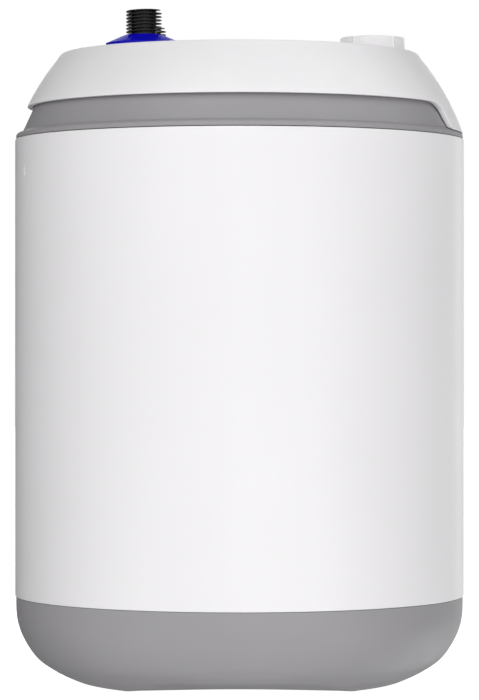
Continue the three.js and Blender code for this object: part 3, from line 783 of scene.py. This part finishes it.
def build_cap():
    cap = loft("cap_cover", [cap_section(column) for column in edge_columns()])
    seat = upright_tool(KNOB_X, 0, SEAT_R, SEAT_LOW, SEAT_HIGH)
    modifier = cap.modifiers.new("add", "BOOLEAN")
    modifier.operation = "UNION"
    modifier.solver = "EXACT"
    modifier.object = seat
    tools = [
        upright_tool(KNOB_X, 0, WELL_R, WELL_FLOOR, CAP_CUT[1]),
        upright_tool(KNOB_X, 0, SHAFT_HOLE_R, *SEAT_CUT),
        upright_tool(STUB_X, STUB_Y, STUB_HOLE_R, *CAP_CUT),
        upright_tool(STUB_X, -STUB_Y, STUB_HOLE_R, *CAP_CUT),
        upright_tool(GROMMET_X, 0, CABLE_HOLE_R, *CAP_CUT),
    ]
    for side in (-1, 1):
        tools.append(upright_tool(KNOB_X, side * SCREW_HOLE_Y, SCREW_HOLE_R, *SEAT_CUT))
    carve(cap, *tools)
    bpy.data.objects.remove(seat)
    return cap


GROMMET_BORE_R = 3.6
GROMMET_NECK_R = 6.6
GROMMET_LIP_R = 8.6
GROMMET_HEAD_R = 9.2
GROMMET_HEAD_Z = 379


def build_grommet():
    low, high = grommet_low.z, grommet_high.z
    corners = [
        (GROMMET_BORE_R, low, 0.4),
        (GROMMET_LIP_R, low, 0.4),
        (GROMMET_LIP_R, low + 1.6, 0.3),
        (GROMMET_NECK_R, low + 1.8, 0.2),
        (GROMMET_NECK_R, GROMMET_HEAD_Z, 0.2),
        (GROMMET_HEAD_R, GROMMET_HEAD_Z, 0.5),
        (GROMMET_HEAD_R - 0.9, high, 0.8),
        (5.2, high, 0.4),
        (4.8, high - 0.5, 0.3),
        (GROMMET_BORE_R, high - 0.5, 0.3),
    ]
    return revolve("cable_bush", soften(corners, 4), 96, centre=(GROMMET_X, 0))


# ---- the control knob ----

RIDGES = [8, 23, 38, 70]  # degrees from the Y axis, mirrored to the other three quarters
STRONG = [38, 70]  # the ridges that carry a raised rib
RIB_HALF = 1.7  # degrees
RIB_RISE = 0.42
FACET_DEPTH = 0.25
GRIP_R = KNOB_R + 0.4
KNOB_SHAFT_R = 3.35
KNOB_HUB_R = 6.0
KNOB_HUB_LOW = 376.5
KNOB_SKIRT_R = 16.6
KNOB_CEILING = 384.0
KNOB_DISH = 0.35
POINTER = (7.5, 14.2)  # how far the groove in the top starts and ends from the knob's axis
POINTER_HALF_WIDTH = 0.7


def ridge_angles():
    """Angles of all the knob's ridges once round, and whether each one is a raised rib."""
    ridges = []
    for degrees in RIDGES:
        for side in (-90, 90):
            for sign in (-1, 1):
                ridges.append((math.radians(side + sign * degrees) % TAU, degrees in STRONG))
    return sorted(ridges)


def knob_outline(steps=20):
    """(angle, shrink) round the knob: flat facets between ridges, with narrow raised ribs."""
    ridges = ridge_angles()
    outline = []
    for i, (start, strong) in enumerate(ridges):
        end, next_strong = ridges[(i + 1) % len(ridges)]
        width = (end - start) % TAU
        for k in range(steps):
            away = width * k / steps
            facet = math.cos(width / 2) / math.cos(away - width / 2)
            rise = 0.0
            for there, raised in ((away, strong), (width - away, next_strong)):
                if raised:
                    rise += RIB_RISE * math.exp(-(math.degrees(there) / RIB_HALF) ** 2)
            shrink = rise - RIB_RISE - FACET_DEPTH * (1 - facet) * GRIP_R
            outline.append(((start + away) % TAU, shrink))
    return outline


def build_knob():
    top_r = GRIP_R - 0.6
    corners = [
        (0, KNOB_CEILING + 0.9, 0),
        (KNOB_SHAFT_R, KNOB_CEILING + 0.9, 0.2),
        (KNOB_SHAFT_R, KNOB_HUB_LOW, 0.3),
        (KNOB_HUB_R, KNOB_HUB_LOW, 0.3),
        (KNOB_HUB_R, KNOB_CEILING, 0.5),
        (KNOB_SKIRT_R, KNOB_CEILING, 0.8),
        (KNOB_SKIRT_R + 0.2, KNOB_BOTTOM, 0.3),
        (GRIP_R, KNOB_BOTTOM, 0.3),
        (top_r, KNOB_TOP, 1.1),
        (top_r - 2.6, KNOB_TOP, 0.5),
        (top_r - 3.4, KNOB_TOP - KNOB_DISH, 0.5),
        (0, KNOB_TOP - KNOB_DISH, 0),
    ]
    profile = divide(soften(corners, 6), 1.5, closed=False)
    shrink = dict(knob_outline())

    def shape(r, z, angle):
        share = min(1.0, max(0.0, (r - KNOB_SKIRT_R - 0.4) / 0.8))
        return r + shrink[angle] * share, z

    knob = revolve("temperature_knob", profile, sorted(shrink), shape, centre=(KNOB_X, 0), sharp=24)
    start, end = POINTER
    groove = bar_tool(KNOB_X + start, KNOB_X + end, POINTER_HALF_WIDTH, KNOB_TOP - 1, KNOB_TOP + 1)
    return carve(knob, groove, sharp=24)


def bar_tool(x0, x1, half, low, high):
    """An upright bar with round ends, lying along X."""
    outline = arc((x1 - half, 0), half, -90, 90, 12) + arc((x0 + half, 0), half, 90, 270, 12)
    return prism("tool", outline, low, high)


# ---- water connections ----

THREAD_R = 10.4775
CORE_R = 7.35
PITCH = 2.0
THREAD_LOW = 383.2
THREAD_TURNS = 7.1
BORE_R = 5.25
BORE_LOW = 378
TUBE_BORE_R = 8.2
TUBE_BORE_HIGH = 374
TUBE_R = 9.5
SHOULDER_TUBE_R = 14.0
SHOULDER_LOW = 321.6
SHOULDER_HIGH = 325.0
THREAD_STEPS = 72
THREAD_FADE = 0.16  # turns


def build_stub(name, y):
    corners = [
        (TUBE_BORE_R, stub_low.z, 0.4),
        (TUBE_R, stub_low.z, 0.6),
        (TUBE_R, SHOULDER_LOW, 0.3),
        (SHOULDER_TUBE_R, SHOULDER_LOW, 0.5),
        (SHOULDER_TUBE_R, SHOULDER_HIGH, 0.5),
        (THREAD_R, SHOULDER_HIGH, 0.4),
        (THREAD_R, THREAD_LOW, 0.8),
        (CORE_R, THREAD_LOW + 0.4, 0.2),
        (CORE_R, STUB_TOP, 0.5),
        (BORE_R, STUB_TOP, 0.3),
        (BORE_R, BORE_LOW, 0.5),
        (TUBE_BORE_R, TUBE_BORE_HIGH, 0.5),
    ]
    tube = revolve("tube", divide(soften(corners, 4), 8), 96, centre=(STUB_X, y))
    fin = build_fin(y)
    return join(name, tube, fin)


def build_fin(y):
    """The right-handed thread: a tapered fin wound up round the core, fading out at both ends."""
    count = int(THREAD_TURNS * THREAD_STEPS)
    root = CORE_R - 0.35
    rings = []
    for i in range(count + 1):
        turn = i / THREAD_STEPS
        from_end = min(turn, THREAD_TURNS - turn)
        height = min(1.0, from_end / THREAD_FADE + 0.04)
        crest = root + (THREAD_R - root) * height
        z = THREAD_LOW + 0.9 + PITCH * turn
        section = [
            (root, z - 0.45),
            (crest - 0.25, z - 0.36),
            (crest - 0.06, z - 0.3),
            (crest, z - 0.2),
            (crest, z + 0.12),
            (crest - 0.07, z + 0.22),
            (crest - 0.3, z + 0.3),
            (root, z + 0.62),
        ]
        a = TAU * turn
        top = STUB_TOP - 0.05
        ring = [(STUB_X + r * math.cos(a), y + r * math.sin(a), min(h, top)) for r, h in section]
        rings.append(ring)
    size = len(rings[0])
    verts = [p for ring in rings for p in ring]
    faces = []
    for i in range(count):
        for j in range(size):
            k = (j + 1) % size
            faces.append((i * size + j, (i + 1) * size + j, (i + 1) * size + k, i * size + k))
    faces.append(tuple(range(size)))
    faces.append(tuple(range(count * size, (count + 1) * size)))
    return make_object("fin", verts, faces)


COLLAR_TOP = collar_high.z
COLLAR_HOLE_R = THREAD_R + 0.3
COLLAR_CROWN_R = 11.2
COLLAR_SLOPE = 0.445
COLLAR_REACH = (collar_high.x - collar_low.x) / 2
COLLAR_GAP = 0.3
COLLAR_EDGE = 0.12


def above_cap(x, y, angle, r):
    """Height just above the domed cap at a place given from a connection's axis."""
    return dome(math.hypot(x + r * math.cos(angle), y + r * math.sin(angle))) + COLLAR_GAP


def build_collar(name, y):
    """A conical rosette whose skirt is cut to follow the domed cap."""
    top = COLLAR_TOP

    def cone(r):
        return top - COLLAR_SLOPE * (r - COLLAR_CROWN_R)

    rings = []
    for angle in even_angles(192):
        reach = COLLAR_CROWN_R
        while reach < COLLAR_REACH and cone(reach) > above_cap(STUB_X, y, angle, reach) + COLLAR_EDGE:
            reach += 0.05
        section = [(COLLAR_HOLE_R, top - 0.3), (COLLAR_HOLE_R + 0.2, top - 0.04)]
        section += [(COLLAR_CROWN_R - 0.15, top - 0.02), (COLLAR_CROWN_R + 0.1, cone(COLLAR_CROWN_R + 0.3))]
        section += [(r, cone(r)) for r in np.linspace(COLLAR_CROWN_R + 0.6, reach, 8)]
        section += [(r, above_cap(STUB_X, y, angle, r)) for r in np.linspace(reach, COLLAR_HOLE_R, 6)]
        rings.append([(STUB_X + r * math.cos(angle), y + r * math.sin(angle), z) for r, z in section])
    return loft(name, rings)


# ---- pieces ----

place(build_jacket(), "jacket", finishes["white_enamel"])
for node in ("hanger_nut_left", "hanger_nut_right"):
    place(build_hanger_nut(node.replace("nut", "insert"), node), node, finishes["white_enamel"])
place(build_base(), "base_cap", finishes["grey_plastic"])
place(build_ring(), "top_ring", finishes["grey_plastic"])
place(build_cap(), "top_cap", finishes["white_plastic"])
place(build_grommet(), "cable_grommet", finishes["black_rubber"])
place(build_knob(), "control_knob", finishes["white_plastic"], "knob")
place(build_stub("cold_connection", STUB_Y), "cold_stub", finishes["black_plastic"])
place(build_stub("hot_connection", -STUB_Y), "hot_stub", finishes["black_plastic"])
place(build_collar("cold_rosette", STUB_Y), "cold_collar", finishes["blue_plastic"])
place(build_collar("hot_rosette", -STUB_Y), "hot_collar", finishes["red_plastic"])

for node, obj in frame["nodes"].items():
    obj.data.materials.clear()
    obj.data.materials.append(finishes[SLOTS[node]])

# ---- floor, light and camera ----

CAMERA_DISTANCE = 14.416 * JACKET_R * MM
CAMERA_HEIGHT = 201.5 * MM
FOCAL = 165.9
HORIZON_SHIFT = -0.00643
FLOOR_SIZE = 12.0
AMBIENT = 0.045


def floor_material():
    """Plain pale paper with a faint mottle."""
    n = Nodes("studio_floor")
    n.put(n.shader.inputs["Base Color"], (0.02, 0.02, 0.02, 1))
    n.put(n.shader.inputs["Emission Color"], (1, 1, 1, 1))
    n.put(n.shader.inputs["Emission Strength"], n.spread(n.noise(3, 2, 0.5), 0.985, 1.0))
    return n.material


def add_floor():
    """The floor is only seen: the light comes from all round, as in a white tent."""
    mesh = bpy.data.meshes.new("studio_floor")
    corners = [(x * FLOOR_SIZE / 2, y * FLOOR_SIZE / 2, 0) for x, y in ((-1, -1), (1, -1), (1, 1), (-1, 1))]
    mesh.from_pydata(corners, [], [(0, 1, 2, 3)])
    floor = bpy.data.objects.new("studio_floor", mesh)
    bpy.context.scene.collection.objects.link(floor)
    mesh.materials.append(floor_material())
    floor.visible_diffuse = False
    floor.visible_glossy = False
    floor.visible_shadow = False


def add_sun(name, azimuth, elevation, strength, softness):
    """A broad distant light; azimuth 0 is from behind the camera, positive from the right."""
    light = bpy.data.lights.new(name, "SUN")
    light.energy = strength
    light.angle = math.radians(softness)
    lamp = bpy.data.objects.new(name, light)
    a, e = math.radians(azimuth), math.radians(elevation)
    direction = Vector((math.sin(a) * math.cos(e), -math.cos(a) * math.cos(e), math.sin(e)))
    lamp.rotation_euler = direction.to_track_quat("Z", "Y").to_euler()
    bpy.context.scene.collection.objects.link(lamp)


def add_world(ambient):
    """White all round to the eye, and only a faint even light on the object."""
    world = bpy.data.worlds.new("studio")
    world.use_nodes = True
    tree = world.node_tree
    background = tree.nodes["Background"]
    path = tree.nodes.new("ShaderNodeLightPath")
    level = tree.nodes.new("ShaderNodeMapRange")
    level.inputs["To Min"].default_value = ambient
    level.inputs["To Max"].default_value = 1.0
    tree.links.new(path.outputs["Is Camera Ray"], level.inputs["Value"])
    tree.links.new(level.outputs["Result"], background.inputs["Strength"])
    background.inputs["Color"].default_value = (1, 1, 1, 1)
    bpy.context.scene.world = world


def add_camera():
    camera = bpy.data.cameras.new("camera")
    camera.sensor_width = 36
    camera.lens = FOCAL
    camera.shift_y = HORIZON_SHIFT
    camera.clip_end = 50
    holder = bpy.data.objects.new("camera", camera)
    holder.location = (0, -CAMERA_DISTANCE, CAMERA_HEIGHT)
    holder.rotation_euler = (math.pi / 2, 0, 0)
    bpy.context.scene.collection.objects.link(holder)
    bpy.context.scene.camera = holder


add_floor()
add_sun("key", -20, 40, 1.3, 60)
add_sun("front_left", -20, 0, 0.4, 60)
add_sun("front_right", 25, 0, 0.69, 60)
add_sun("side_left", -65, 15, 0.36, 60)
add_sun("low_left", -60, -40, 0.76, 60)
add_sun("low_right", 55, -40, 0.9, 60)
add_sun("below", 0, -75, 0.45, 60)
add_sun("high_right", 75, 40, 0.8, 60)
add_sun("rear_low_right", 135, -30, 0.5, 35)
add_sun("rear_right", 140, 0, 0.1, 35)
add_sun("rear_rim", 160, 0, 0.2, 35)
add_sun("rear_fill", 180, 20, 0.6, 30)
add_world(AMBIENT)
add_camera()
bpy.context.scene.view_settings.view_transform = "Standard"
